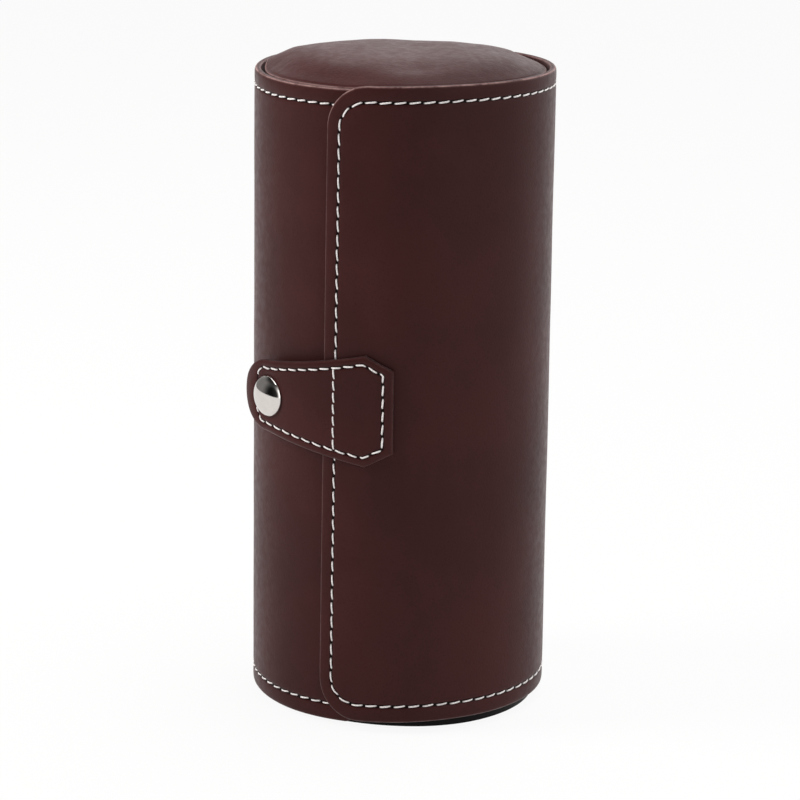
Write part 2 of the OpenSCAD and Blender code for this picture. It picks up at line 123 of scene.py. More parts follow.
# ---- Node helpers ------------------------------------------------------------
class Nodes:
    """Short calls for building the node tree of a material or of the world."""

    def __init__(self, owner, shader="Principled BSDF", space="Object"):
        owner.use_nodes = True
        self.owner = owner
        self.tree = owner.node_tree
        self.shader = self.tree.nodes[shader]
        self.where = self.new("ShaderNodeTexCoord").outputs[space]

    def new(self, kind, **values):
        node = self.tree.nodes.new(kind)
        for key, value in values.items():
            setattr(node, key, value)
        return node

    def link(self, source, target):
        self.tree.links.new(source, target)

    def put(self, target, value):
        if isinstance(value, bpy.types.NodeSocket):
            self.link(value, target)
        else:
            target.default_value = value

    def noise(self, scale, detail=3.0, rough=0.5, stretch=None, distortion=0.0):
        where = self.where
        if stretch:
            mapping = self.new("ShaderNodeMapping")
            mapping.inputs["Scale"].default_value = stretch
            self.link(where, mapping.inputs["Vector"])
            where = mapping.outputs["Vector"]
        node = self.new("ShaderNodeTexNoise")
        self.link(where, node.inputs["Vector"])
        node.inputs["Scale"].default_value = scale
        node.inputs["Detail"].default_value = detail
        node.inputs["Roughness"].default_value = rough
        node.inputs["Distortion"].default_value = distortion
        return node.outputs["Fac"]

    def cells(self, scale):
        node = self.new("ShaderNodeTexVoronoi", feature="SMOOTH_F1")
        self.link(self.where, node.inputs["Vector"])
        node.inputs["Scale"].default_value = scale
        return node.outputs["Distance"]

    def math(self, operation, a, b=0.0):
        node = self.new("ShaderNodeMath", operation=operation)
        for socket, value in zip(node.inputs, (a, b)):
            self.put(socket, value)
        return node.outputs[0]

    def remap(self, value, low, high, to_low=0.0, to_high=1.0):
        node = self.new("ShaderNodeMapRange", interpolation_type="SMOOTHSTEP")
        for socket, number in zip(node.inputs, (value, low, high, to_low, to_high)):
            self.put(socket, number)
        return node.outputs["Result"]

    def attribute(self, name):
        return self.new("ShaderNodeAttribute", attribute_name=name).outputs["Fac"]

    def mix(self, fac, a, b):
        node = self.new("ShaderNodeMix", data_type="RGBA")
        self.put(node.inputs["Factor"], fac)
        for socket, value in zip((node.inputs[6], node.inputs[7]), (a, b)):
            self.put(socket, value if isinstance(value, bpy.types.NodeSocket) else (*value, 1.0))
        return node.outputs[2]

    def bump(self, height, distance, strength, normal=None):
        node = self.new("ShaderNodeBump")
        node.inputs["Strength"].default_value = strength
        node.inputs["Distance"].default_value = distance
        self.link(height, node.inputs["Height"])
        if normal is not None:
            self.link(normal, node.inputs["Normal"])
        return node.outputs["Normal"]

    def set(self, **values):
        for key, value in values.items():
            self.put(self.shader.inputs[key.replace("_", " ")], value)


def srgb(r, g, b):
    def one(v):
        v /= 255.0
        return v / 12.92 if v <= 0.04045 else ((v + 0.055) / 1.055) ** 2.4

    return (one(r), one(g), one(b))


def times(k, colour):
    return tuple(k * c for c in colour)


# pale colour of rubbed edges: partly wear, partly painted highlight
WORN_AND_HIGHLIT_EDGE = srgb(186, 150, 146)
# near black: painted shade inside a needle hole
NEEDLE_HOLE_SHADE = (0.0014, 0.0010, 0.0010)
LEATHER_SHEEN = (1.0, 0.83, 0.84, 1.0)


def leather(name, base, dark, light, pitch=PITCH, seam=True, grain=1.0, sheen=0.125):
    """Smooth hide: mottling and fine pores; edges lightened by wear and painted highlight, or
    darkened by painted shade; painted shade in a seam's channel and needle holes.
    """
    n = Nodes(bpy.data.materials.new(name))
    cloud = n.noise(24.0, 4.0, 0.55)
    streak = n.noise(30.0, 3.0, 0.6, stretch=(1.0, 1.0, 0.22))
    pores = n.cells(1500.0)
    fine = n.noise(2600.0, 2.0, 0.6)
    tone = n.mix(n.remap(cloud, 0.34, 0.68), dark, base)
    tone = n.mix(n.remap(streak, 0.5, 0.8, 0.0, 0.30), tone, light)
    tone = n.mix(n.remap(pores, 0.0, 0.42, 0.25 * grain, 0.0), tone, times(0.55, dark))
    # above 0 the edges grow paler: partly real wear, partly painted highlight standing for glints
    # on rolled edges
    wear = n.attribute("wear")
    worn_and_highlit = n.math("MULTIPLY", wear, n.remap(n.noise(260.0, 4.0, 0.7), 0.28, 0.62, 0.2, 1.0))
    tone = n.mix(worn_and_highlit, tone, WORN_AND_HIGHLIT_EDGE)
    # below 0 the edges grow darker: painted shade on the tab's cut edge, for its shaded side wall
    tone = n.mix(n.math("MULTIPLY", wear, -1.0), tone, times(0.3, dark))
    height = n.math("ADD", n.math("MULTIPLY", pores, 0.55), n.math("MULTIPLY", fine, 0.45))
    normal = n.bump(height, 0.00005 * grain, 0.8)
    normal = n.bump(n.noise(120.0, 3.0, 0.5), 0.00012, 0.5, normal)
    if seam:
        # painted shade: darker along the stitch channel, and near black in the needle holes
        across = n.math("ABSOLUTE", n.math("SUBTRACT", n.attribute("seam_v"), SEAM))
        step = n.math("FRACT", n.math("DIVIDE", n.attribute("seam_u"), pitch))
        gap = n.math("ABSOLUTE", n.math("SUBTRACT", step, 0.5))
        hole_shade = n.math("MULTIPLY", n.remap(gap, 0.39, 0.46), n.remap(across, 0.5, 0.25))
        tone = n.mix(n.remap(across, 0.72, 0.3, 0.0, 0.75), tone, times(0.2, dark))
        tone = n.mix(hole_shade, tone, NEEDLE_HOLE_SHADE)
    n.set(
        Base_Color=tone,
        Roughness=n.remap(n.noise(420.0, 3.0), 0.3, 0.7, 0.34, 0.46),
        Normal=normal,
        Specular_IOR_Level=0.07,
        Sheen_Weight=sheen,
        Sheen_Roughness=0.35,
        Sheen_Tint=LEATHER_SHEEN,
    )
    return n.owner


def suede(name, base, dark):
    """Brushed suede: soft nap with lighter and darker strokes."""
    n = Nodes(bpy.data.materials.new(name))
    nap = n.noise(70.0, 5.0, 0.65, distortion=0.6)
    fibre = n.noise(2400.0, 4.0, 0.75)
    tone = n.mix(n.remap(nap, 0.25, 0.78), dark, base)
    tone = n.mix(n.remap(fibre, 0.3, 0.75, 0.35, 0.0), tone, times(0.6, dark))
    normal = n.bump(fibre, 0.00012, 0.8)
    n.set(
        Base_Color=tone,
        Roughness=n.remap(nap, 0.2, 0.8, 0.84, 0.96),
        Normal=n.bump(n.noise(260.0, 3.0, 0.6), 0.0002, 0.5, normal),
        Sheen_Weight=0.35,
        Sheen_Roughness=0.45,
        Specular_IOR_Level=0.2,
    )
    return n.owner


def plated(name, base, rough):
    """Plated metal with hairline scratches and a faint haze."""
    n = Nodes(bpy.data.materials.new(name))
    haze = n.noise(300.0, 4.0, 0.6)
    hair = n.noise(900.0, 2.0, 0.5, stretch=(6.0, 1.0, 1.0))
    n.set(
        Base_Color=n.mix(n.remap(haze, 0.3, 0.7), times(0.93, base), base),
        Roughness=n.remap(haze, 0.3, 0.75, rough, rough + 0.07),
        Normal=n.bump(hair, 0.000006, 0.5),
        Metallic=1.0,
    )
    return n.owner


def thread(name, base, dark):
    """Waxed thread: its twist shows as bumps with painted shade in the grooves, and painted shade
    where it enters a hole.
    """
    n = Nodes(bpy.data.materials.new(name))
    wave = n.math("SINE", n.math("MULTIPLY", n.attribute("twist"), 2 * math.pi))
    fuzz = n.noise(5000.0, 2.0, 0.6)
    # painted shade in the twist's grooves
    tone = n.mix(n.remap(wave, -1.0, 0.2, 0.35, 0.0), base, dark)
    # painted shade where the thread goes into a hole
    tone = n.mix(n.remap(n.attribute("wear"), 0.0, 1.0, 0.0, 0.75), tone, times(0.4, dark))
    height = n.math("ADD", n.math("MULTIPLY", wave, 0.6), n.math("MULTIPLY", fuzz, 0.4))
    n.set(
        Base_Color=tone,
        Roughness=n.remap(fuzz, 0.3, 0.7, 0.6, 0.75),
        Normal=n.bump(height, 0.00005, 0.8),
        Sheen_Weight=0.2,
    )
    return n.owner


def card(name, base, dark):
    """Grey-brown bookbinder's board, with pressed fibres."""
    n = Nodes(bpy.data.materials.new(name))
    fibre = n.noise(700.0, 5.0, 0.7, stretch=(1.0, 1.0, 0.3))
    n.set(
        Base_Color=n.mix(n.remap(fibre, 0.3, 0.7), dark, base),
        Roughness=n.remap(fibre, 0.2, 0.8, 0.8, 0.95),
        Normal=n.bump(fibre, 0.00008, 0.6),
    )
    return n.owner


HIDE = (srgb(66, 35, 34), srgb(58, 31, 30), srgb(76, 41, 38))
# the top pad is the same leather made lighter: painted light from above
LIT_PAD_HIDE = (srgb(73, 39, 38), srgb(64, 34, 33), srgb(82, 44, 42))
# near black: painted shade on the pad under the case, where it stands on the floor
SHADED_FOOT_HIDE = (srgb(24, 20, 20), srgb(14, 12, 12), srgb(30, 26, 26))
hide = leather("hide", *HIDE)
hide_tab = leather("hide_tab", *HIDE, pitch=TAB_PITCH)
hide_plain = leather("hide_plain", *LIT_PAD_HIDE, seam=False, grain=1.8, sheen=0.16)
shaded_foot_hide = leather("shaded_foot_hide", *SHADED_FOOT_HIDE, seam=False)
nap = suede("nap", srgb(174, 158, 140), srgb(156, 140, 123))
nickel = plated("nickel", (0.69, 0.65, 0.615), 0.05)
steel = plated("spring_steel", (0.62, 0.61, 0.60), 0.16)
stitch_thread = thread("stitch_thread", srgb(253, 248, 247), srgb(210, 197, 194))
board_card = card("board_card", srgb(164, 148, 125), srgb(150, 134, 112))


# ---- Mesh helpers ------------------------------------------------------------
def piece(name, verts, faces, material, values=None):
    """A smooth mesh object from points in mm, with values for each point."""
    mesh = bpy.data.meshes.new(name)
    mesh.from_pydata([tuple(c * MM for c in v) for v in verts], [], faces)
    for key, numbers in (values or {}).items():
        layer = mesh.attributes.new(key, "FLOAT", "POINT")
        layer.data.foreach_set("value", np.array(numbers, np.float32))
    mesh.polygons.foreach_set("use_smooth", [True] * len(mesh.polygons))
    mesh.materials.append(material)
    mesh.validate()
    obj = bpy.data.objects.new(name, mesh)
    bpy.context.scene.collection.objects.link(obj)
    return obj


def grid_faces(rows, cols):
    """Quads of an open grid of points."""
    starts = [j * cols + i for j in range(rows - 1) for i in range(cols - 1)]
    return [(a, a + 1, a + cols + 1, a + cols) for a in starts]


def tube_faces(rings, around, base=0):
    """Quads between closed rings of points, the first of which starts at base."""
    faces = []
    for j in range(rings - 1):
        for k in range(around):
            a = base + j * around + k
            b = base + j * around + (k + 1) % around
            faces.append((a, b, b + around, a + around))
    return faces


def closed_out(obj):
    """Turns the faces of a closed piece outwards."""
    bm = bmesh.new()
    bm.from_mesh(obj.data)
    bmesh.ops.recalc_face_normals(bm, faces=bm.faces)
    bm.to_mesh(obj.data)
    bm.free()
    return obj


def face_out(obj, centre=None):
    """Turns a sheet so that it mostly looks away from the centre, or else from the Z axis."""
    middle = Vector(centre or (0.0, 0.0, 0.0)) * MM
    bm = bmesh.new()
    bm.from_mesh(obj.data)
    bmesh.ops.recalc_face_normals(bm, faces=bm.faces)
    total = 0.0
    for face in bm.faces:
        out = face.calc_center_median() - middle
        if centre is None:
            out.z = 0.0
        if out.length > 0:
            total += face.normal.dot(out.normalized()) * face.calc_area()
    if total < 0:
        bmesh.ops.reverse_faces(bm, faces=bm.faces)
    bm.to_mesh(obj.data)
    bm.free()
    return obj


def coons(top, bottom, left, right):
    """Points of a grid that fills four borders. Opposite borders run the same way."""
    top, bottom, left, right = (np.array(x, float) for x in (top, bottom, left, right))
    u = np.linspace(0, 1, len(top))[None, :, None]
    v = np.linspace(0, 1, len(left))[:, None, None]
    grid = (1 - v) * top[None] + v * bottom[None] + (1 - u) * left[:, None] + u * right[:, None]
    grid -= (1 - u) * (1 - v) * top[0] + u * (1 - v) * top[-1]
    grid -= (1 - u) * v * bottom[0] + u * v * bottom[-1]
    return grid


class Sheet:
    """Points of a leather piece: place in the unrolled sheet, depth, wear with painted light, and
    seam place.
    """

    def __init__(self):
        self.points, self.wear, self.seam_u, self.seam_v = [], [], [], []

    def add(self, s, z, d, wear=0.0, seam_u=0.0, seam_v=NO_SEAM):
        self.points.append((s, z, d))
        self.wear.append(wear)
        self.seam_u.append(seam_u)
        self.seam_v.append(seam_v)
        return len(self.points) - 1

    def fill(self, top, bottom, left, right, depth):
        """Quads inside four borders of points, with new points at one depth."""
        grid = coons(*([self.points[k][:2] for k in row] for row in (top, bottom, left, right)))
        rows, cols = grid.shape[:2]
        index = [list(top)]
        for j in range(1, rows - 1):
            inside = [self.add(grid[j, i, 0], grid[j, i, 1], depth) for i in range(1, cols - 1)]
            index.append([left[j], *inside, right[j]])
        index.append(list(bottom))
        faces = []
        for one, two in zip(index, index[1:]):
            faces += zip(one, one[1:], two[1:], two)
        return faces

    def make(self, name, place, faces, material):
        values = {"wear": self.wear, "seam_u": self.seam_u, "seam_v": self.seam_v}
        return piece(name, [place(*p) for p in self.points], faces, material, values)


# ---- The unrolled sheets -----------------------------------------------------
# Each point function takes the way round s and the height z, and the depth d under the outer
# face. s runs from the hinge line in the wrap, and from the sewn end in the tab.
def rim_lift(a, z):
    """How far the hand-laid wrap rises or drops near its rims, at an angle in degrees."""
    front = smooth((55.0 - abs(a + 90.0)) / 40.0)
    back = math.exp(-(((a + 182.0) / 32.0) ** 2))
    top = (0.85 * back - 0.45 * front) * smooth((z - 140.0) / 45.0)
    return top - 0.4 * front * smooth((60.0 - z) / 50.0)


def tray_point(s, z, d):
    a = HINGE + s / CASE_R
    lift = RISE * smooth((RISE_HALF - s) / (2 * RISE_HALF)) + rim_lift(math.degrees(a) - 360.0, z)
    r = CASE_R - d
    return (r * math.cos(a), r * math.sin(a), z + lift)


def flap_point(s, z, d):
    # the flap was laid a little askew, so its free edge leans
    s += smooth((s - 40.0) / 90.0) * lerp(*FLAP_LEAN, (z - RIM_LO) / (RIM_HI - RIM_LO))
    a = HINGE - s / FLAP_R
    lift = RISE * smooth((RISE_HALF + s) / (2 * RISE_HALF)) + rim_lift(math.degrees(a), z)
    r = FLAP_R - d
    return (FLAP_C[0] + r * math.cos(a), FLAP_C[1] + r * math.sin(a), z + lift)


def wrap_point(q, z, d):
    return tray_point(-q, z, d) if q < 0 else flap_point(q, z, d)


def tab_point(s, z, d):
    a = TAB_START - s / TAB_OUT
    # the stiff tip stands off the tray a little
    r = TAB_OUT - d + TIP_LIFT * smooth((s - 43.0) / 12.0)
    return (FLAP_C[0] + r * math.cos(a), FLAP_C[1] + r * math.sin(a), TAB_Z + z)


def sway(p):
    """A faint waviness of the hand-laid leather, pushed along the radius."""
    x, y, z = p
    r = math.hypot(x, y)
    wave = noise.noise(Vector((x * 0.045, y * 0.045, z * 0.03)))
    ripple = noise.noise(Vector((x * 0.13, y * 0.13, z * 0.07 + 9)))
    k = SWAY * (wave + 0.4 * ripple)
    return (x + k * x / r, y + k * y / r, z)


# ---- Wrap --------------------------------------------------------------------
# Rings of a panel's border: distance in from the edge, depth under the face, and wear with
# painted highlight.
# The stitch line lies in a shallow channel.
FACE_RINGS = [
    (7.6, 0.0, 0.0), (6.4, 0.0, 0.0), (5.6, 0.02, 0.0), (5.2, 0.10, 0.0), (4.9, 0.24, 0.0),
    (SEAM, CHANNEL, 0.0), (4.3, 0.24, 0.0), (4.0, 0.10, 0.0), (3.6, 0.02, 0.0),
    (2.4, -0.02, 0.0), (1.3, 0.0, 0.0), (0.75, 0.05, 0.0), (0.42, 0.16, 0.1),
    (0.18, 0.33, 0.85), (0.03, 0.56, 0.3),
]
RIM_RINGS = [
    (0.0, 0.8, 0.1), (0.0, 1.1, 0.0), (0.03, 1.4, 0.1), (0.12, 1.62, 0.45), (0.28, 1.8, 0.3),
    (0.55, 1.94, 0.0), (1.2, 2.08, 0.0), (4.0, WRAP_T, 0.0), (7.8, WRAP_T, 0.0),
    (TURN_IN, 2.14, 0.0),
]
PANEL_RINGS = FACE_RINGS + RIM_RINGS
# Factors on a ring's distance in, at the top, the free side and the bottom
TOP_F, SIDE_F, LOW_F = 1.0, 0.87, 1.1
# How much of a ring's wear and painted highlight shows along each stretch of the border
SHINE = {"top": 1.0, "arc1": 0.85, "side": 0.3, "arc2": 0.12, "bottom": 0.22}
TRAY_STEPS, FLAP_STEPS, ARC_STEPS, SIDE_STEPS = 104, 96, 14, 48


def panel_outline(steps_top):
    """Stations along a panel's border, from the hinge end of the top rim round to the bottom."""
    stations = [("top", i / steps_top) for i in range(steps_top)]
    stations += [("arc1", 90.0 * (1 - i / ARC_STEPS)) for i in range(ARC_STEPS)]
    stations += [("side", i / SIDE_STEPS) for i in range(SIDE_STEPS)]
    stations += [("arc2", -90.0 * i / ARC_STEPS) for i in range(ARC_STEPS)]
    stations += [("bottom", i / steps_top) for i in range(steps_top + 1)]
    return stations


def panel_border(station, e, length, corner):
    """The border's point in the unrolled sheet, drawn in by e."""
    kind, t = station
    top_r, side_r, low_r = (max(corner - e * f, LEAST_CORNER) for f in (TOP_F, SIDE_F, LOW_F))
    middle = length - e * SIDE_F - side_r
    top, low = RIM_HI - e * TOP_F, RIM_LO + e * LOW_F
    if kind == "top":
        return (lerp(BAND, middle, t), top)
    if kind == "bottom":
        return (lerp(middle, BAND, t), low)
    if kind == "side":
        return (middle + side_r, lerp(top - top_r, low + low_r, t))
    a = math.radians(t)
    if kind == "arc1":
        return (middle + side_r * math.cos(a), top + top_r * (math.sin(a) - 1))
    return (middle + side_r * math.cos(a), low + low_r * (math.sin(a) + 1))


def panel_seam(length, corner, steps_top):
    return [panel_border(x, SEAM, length, corner) for x in panel_outline(steps_top)]


def run_of(line):
    """The distance along a line at each of its points."""
    run = [0.0]
    for a, b in zip(line, line[1:]):
        run.append(run[-1] + math.hypot(b[0] - a[0], b[1] - a[1]))
    return run


def panel(name, point, length, corner, steps_top):
    """One half of the wrap, from the end of the hinge band to its free edge."""
    stations = panel_outline(steps_top)
    count = len(stations)
    run = run_of(panel_seam(length, corner, steps_top))
    sheet = Sheet()
    for e, d, w in PANEL_RINGS:
        for u, station in zip(run, stations):
            s, z = panel_border(station, e, length, corner)
            place = (u, e) if d < FACE_DEPTH else (0.0, 0.0)
            sheet.add(s, z, d, w * SHINE[station[0]], *place)
    faces = grid_faces(len(PANEL_RINGS), count)
    # the field inside the border, whose corners are the middles of both arcs
    a = steps_top + ARC_STEPS // 2
    b = count - 1 - a
    high, low = sheet.points[0][1], sheet.points[count - 1][1]
    rows = b - a
    left = [sheet.add(BAND, lerp(high, low, j / rows), 0.0) for j in range(1, rows)]
    faces += sheet.fill(
        range(a + 1), range(count - 1, b - 1, -1), [0, *left, count - 1], range(a, b + 1), 0.0
    )
    return face_out(sheet.make(name, lambda *p: sway(point(*p)), faces, hide))


def hinge_band(name):
    """The bare strip between the two halves, which sinks a little between the boards' ends."""
    rows, half = 62, 14
    column = [(RIM_HI - e * TOP_F, d, w, e) for e, d, w in reversed(PANEL_RINGS)]
    inner = PANEL_RINGS[0][0]
    top, low = RIM_HI - inner * TOP_F, RIM_LO + inner * LOW_F
    column += [(lerp(top, low, j / rows), 0.0, 0.0, NO_SEAM) for j in range(1, rows)]
    column += [(RIM_LO + e * LOW_F, d, w, e) for e, d, w in PANEL_RINGS]
    sheet = Sheet()
    for i in range(-half, half + 1):
        q = BAND * math.sin(math.pi / 2 * i / half)
        dip = 0.5 * (1 + math.cos(math.pi * q / BAND))
        thick = 1 - 0.40 * smooth(dip * 1.2)
        for z, d, w, e in column:
            sunk = 0.55 * dip * (1 if d < 1.4 else 0.2)
            seam_v = e if d < FACE_DEPTH else 0.0
            sheet.add(q, z, d * thick + sunk, w * (1 - 0.5 * dip), q + BAND, seam_v)
    faces = grid_faces(2 * half + 1, len(column))
    return face_out(sheet.make(name, lambda *p: sway(wrap_point(*p)), faces, hide))


tray_leather = panel("tray_leather", tray_point, TRAY_LEN, TRAY_CORNER, TRAY_STEPS)
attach(tray_leather, "case")
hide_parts("tray_cover")

flap_leather = panel("flap_leather", flap_point, FLAP_LEN, FLAP_CORNER, FLAP_STEPS)
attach(flap_leather, "flap")
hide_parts("flap_cover")

hinge_leather = hinge_band("hinge_leather")
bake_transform(hinge_leather)


# ---- Suede lining ------------------------------------------------------------
def lining(name, point, length, corner, steps):
    """A suede sheet inside a half of the wrap, whose rolled border laps the turned leather."""
    rows = 60
    edge = TURN_IN - LINING_LAP
    z_hi, z_lo = RIM_HI - edge, RIM_LO + edge
    r = max(corner - edge, LEAST_CORNER)
    verts = []
    for j in range(rows + 1):
        # the rows lie closer together near the rims
        t = lerp(0.5 - 0.5 * math.cos(math.pi * j / rows), j / rows, 0.75)
        z = lerp(z_hi, z_lo, t)
        reach = length - edge
        gap = min(z_hi - z, z - z_lo)
        if gap < r:
            reach -= r - math.sqrt(max(0.0, r * r - (r - gap) ** 2))
        for i in range(steps + 1):
            s = lerp(BAND, reach, i / steps)
            d = WRAP_T + 0.14 * smooth(min(gap, reach - s) / 0.8) - 0.06
            d += 0.05 * noise.noise(Vector((s * 0.12, z * 0.12, 3.0)))
            verts.append(point(s, z, d))
    obj = face_out(piece(name, verts, grid_faces(rows + 1, steps + 1), nap))
    obj.data.flip_normals()
    return obj


def hinge_lining(name):
    """The lining's strip behind the hinge, which follows the step down onto the bare leather."""
    rows, cols = 60, 28
    verts = []
    for j in range(rows + 1):
        z = lerp(RIM_HI - TURN_IN + LINING_LAP, RIM_LO + TURN_IN - LINING_LAP, j / rows)
        for i in range(cols + 1):
            q = BAND * math.sin(math.pi / 2 * (2 * i / cols - 1))
            step = smooth((abs(q) - 2.9) / 1.5)
            verts.append(wrap_point(q, z, lerp(1.5, WRAP_T + 0.08, step)))
    obj = face_out(piece(name, verts, grid_faces(rows + 1, cols + 1), nap))
    obj.data.flip_normals()
    return obj


tray_suede = lining("tray_suede", tray_point, TRAY_LEN, TRAY_CORNER, 110)
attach(tray_suede, "case")
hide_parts("tray_lining")
flap_suede = lining("flap_suede", flap_point, FLAP_LEN, FLAP_CORNER, 100)
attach(flap_suede, "flap")
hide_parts("flap_lining")
hinge_suede = hinge_lining("hinge_suede")
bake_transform(hinge_suede)


# ---- Tab ---------------------------------------------------------------------
# Rings of the tab's border, as those of a panel; below 0 the last number is painted shade on the
# cut edge
TAB_RINGS = [
    (5.2, 0.0, 0.0), (4.2, 0.0, 0.0), (3.65, 0.06, 0.0), (3.36, 0.2, 0.0),
    (TAB_SEAM, TAB_CHANNEL, 0.0), (2.84, 0.2, 0.0), (2.55, 0.06, 0.0), (1.9, -0.02, 0.0),
    (1.2, 0.03, 0.0), (0.75, 0.12, 0.0), (0.38, 0.28, 0.03), (0.12, 0.5, 0.06),
    (0.0, 0.75, -0.35), (0.02, 0.98, -0.7), (0.0, 1.3, -0.7), (0.08, 1.66, -0.4),
    (0.3, 1.88, 0.0), (0.7, 1.98, 0.0), (2.4, TAB_T, 0.0), (5.2, TAB_T, 0.0),
]
END_STEPS, BEVEL_STEPS, TAPER_STEPS, TIP_STEPS = 18, 8, 34, 9
BEVEL_OUT = Vector((-(TAB_WIDE_HALF - TAB_ROOT_HALF), TAB_WIDE_S)).normalized()


def tab_half(s):
    """Half the tab's height at s."""
    if s < TAB_WIDE_S:
        return TAB_ROOT_HALF + (TAB_WIDE_HALF - TAB_ROOT_HALF) * s / TAB_WIDE_S
    if s < TIP_S:
        narrow = ((TIP_S - s) / (TIP_S - TAB_WIDE_S)) ** 1.2
        return TAB_TIP_R + (TAB_WIDE_HALF - TAB_TIP_R) * narrow
    return math.sqrt(max(0.0, TAB_TIP_R ** 2 - (s - TIP_S) ** 2))


def tip_at(e, degrees):
    """Point of the tip's line drawn in by e: the seam runs in under the cap."""
    a = math.radians(degrees)
    near = smooth((80.0 - abs(degrees)) / 55.0)
    reach = TAB_TIP_R - e - 3.6 * near * smooth((e - 1.1) / 1.4)
    return Vector((TIP_S + reach * math.cos(a), reach * math.sin(a)))


def tab_side(e):
    """The tab's upper side from its straight end to 45 degrees round the tip, drawn in by e."""

    def bevel_at(s):
        base = Vector((0.0, TAB_ROOT_HALF)) - BEVEL_OUT * e
        slope = (TAB_WIDE_HALF - TAB_ROOT_HALF) / TAB_WIDE_S
        return base.y + (s - base.x) * slope

    def taper_at(s):
        slope = (tab_half(s + 0.01) - tab_half(s - 0.01)) / 0.02 if s < TIP_S - 0.02 else 0.0
        out = Vector((-slope, 1.0)).normalized()
        return Vector((s, tab_half(s))) - out * e

    # where the drawn-in bevel meets the drawn-in taper
    low, high = 8.42, 20.0
    for _ in range(40):
        mid = (low + high) / 2
        p = taper_at(mid)
        if p.y > bevel_at(p.x):
            low = mid
        else:
            high = mid
    corner = taper_at(low)
    first = Vector((e, bevel_at(e)))
    line = [first.lerp(corner, i / BEVEL_STEPS) for i in range(BEVEL_STEPS)]
    line += [taper_at(lerp(low, TIP_S, i / TAPER_STEPS)) for i in range(TAPER_STEPS)]
    return line + [tip_at(e, 90 - 45 * i / TIP_STEPS) for i in range(TIP_STEPS + 1)]


def tab_loop(e):
    """A closed line round the tab: sewn end upwards, upper side, tip, lower side back."""
    upper = tab_side(e)
    half = upper[0].y
    end = [Vector((e, lerp(-half, half, i / END_STEPS))) for i in range(END_STEPS)]
    tip = [tip_at(e, 45 - 90 * i / END_STEPS) for i in range(1, END_STEPS)]
    lower = [Vector((p.x, -p.y)) for p in reversed(upper)]
    return end + upper + tip + lower[:-1]


def tab_place(s, z, d):
    """The tab's leather is pressed down a little round the cap."""
    near = math.hypot(s - SNAP_S, z)
    press = 0.32 * (1 - smooth((near - 5.6) / 1.6)) if d < 1.0 else 0.0
    return tab_point(s, z, d + press)


def build_tab(name, seam_line):
    """The whole tab as one leather, its face and back joined round the edge."""
    count = len(seam_line)
    run = run_of(seam_line)
    sheet = Sheet()
    for e, d, w in TAB_RINGS:
        for u, p in zip(run, tab_loop(e)):
            # the border is trimmed a little closer above and below
            trim = (0.75 if p.y > 0 else 0.45) * (1 - smooth(e / 2.4)) * smooth(abs(p.y) / 9.0)
            seam_v = e + SEAM - TAB_SEAM if d < 0.35 and e > 1.0 else 0.0
            sheet.add(p.x, p.y - math.copysign(trim, p.y), d, w, u, seam_v)
    faces = tube_faces(len(TAB_RINGS), count)
    # corners of the loop: both ends of the sewn end and of the tip
    c1 = END_STEPS
    c2 = c1 + BEVEL_STEPS + TAPER_STEPS + TIP_STEPS
    c3 = c2 + END_STEPS
    for ring, depth in ((0, 0.0), (len(TAB_RINGS) - 1, TAB_T)):
        loop = [ring * count + k % count for k in range(count + 1)]
        lower, upper = loop[c3:][::-1], loop[c1 : c2 + 1]
        faces += sheet.fill(lower, upper, loop[: c1 + 1], loop[c2 : c3 + 1][::-1], depth)
    return closed_out(sheet.make(name, tab_place, faces, hide_tab))


tab_seam_line = tab_loop(TAB_SEAM)
tab_leather = build_tab("tab_leather", tab_seam_line)
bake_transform(tab_leather)
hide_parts("tab_root_face", "tab_root_back", "tab_tongue_face", "tab_tongue_back")


# ---- Stitches ----------------------------------------------------------------
def sample(line, run, u):
    """Point and direction at distance u along a line of points."""
    k = int(np.clip(np.searchsorted(run, u) - 1, 0, len(run) - 2))
    span = run[k + 1] - run[k]
    t = (u - run[k]) / span if span > 1e-9 else 0.0
    a, b = line[k], line[k + 1]
    way = Vector((b[0] - a[0], b[1] - a[1]))
    if way.length > 1e-9:
        way.normalize()
    return Vector((lerp(a[0], b[0], t), lerp(a[1], b[1], t))), way


def stitches(name, rows):
    """Rows of thread stitches. A row is a line of (s, z), the sheet's point function, the places
    of the stitches' middles along it, their length and slant, and the channel's depth."""
    verts, faces, twist, wear = [], [], [], []
    around, steps = 8, 9
    for line, point, places, size, slant, channel in rows:
        run = run_of(line)
        for u in places:
            long = size * (1 + rng.uniform(-0.05, 0.05))
            shift = rng.uniform(-0.04, 0.04)
            turn = slant * (1 + rng.uniform(-0.25, 0.25))
            base = len(verts)
            for i in range(steps):
                t = i / (steps - 1)
                spot, way = sample(line, run, u + (t - 0.5) * long)
                side = Vector((-way.y, way.x))
                spot = spot + side * (shift + turn * (2 * t - 1))
                # the middle stands proud, and both ends go down into their holes
                depth = channel + 0.12 - 0.44 * math.sin(math.pi * t) ** 0.55
                thick = THREAD_R * (0.80 + 0.20 * math.sin(math.pi * t) ** 0.5)
                for k in range(around):
                    a = 2 * math.pi * k / around
                    p = spot + side * (thick * math.cos(a))
                    verts.append(point(p.x, p.y, depth - 0.8 * thick * math.sin(a)))
                    twist.append(t * 3.4 + k / around)
                    # painted shade at both ends of a stitch, where it goes into its hole
                    wear.append(smooth((abs(t - 0.5) - 0.36) / 0.14))
            faces += tube_faces(steps, around, base)
            faces.append(tuple(base + k for k in reversed(range(around))))
            faces.append(tuple(base + (steps - 1) * around + k for k in range(around)))
    return closed_out(piece(name, verts, faces, stitch_thread, {"wear": wear, "twist": twist}))


def seam_places(total, pitch):
    """Middles of the stitches: the needle holes are at whole steps of the pitch."""
    places = [pitch * (k + 0.5) for k in range(int(total / pitch))]
    return [u for u in places if u < total - 0.4 * pitch]


